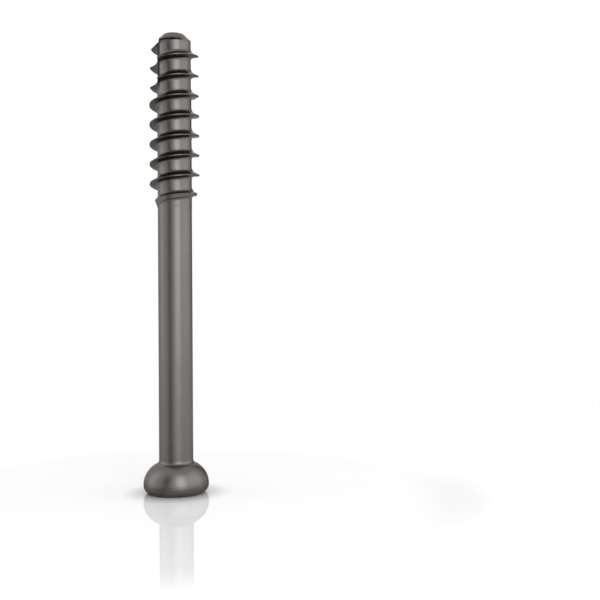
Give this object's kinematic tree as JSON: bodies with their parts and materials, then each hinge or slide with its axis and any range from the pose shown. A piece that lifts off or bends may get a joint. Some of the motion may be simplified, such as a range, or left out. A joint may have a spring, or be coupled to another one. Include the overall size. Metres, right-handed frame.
{
  "type": "cannulated cancellous bone screw",
  "caption": "Partially threaded cancellous bone screw with a round domed head, hex socket, through bore and self-tapping tip, standing on its head.",
  "frame": {"origin": "centre of the flat face of the head, which the screw stands on", "axes": "+Z along the screw's axis from the head to the tip, +Y away from a viewer who has the first thread crest's end on the left"},
  "size_m": [0.0086, 0.0086, 0.06],
  "materials": {
    "anodised_titanium": "satin dark grey anodised titanium alloy"
  },
  "bodies": {
    "root": {"bone_screw": "anodised_titanium"}
  },
  "joints": []
}
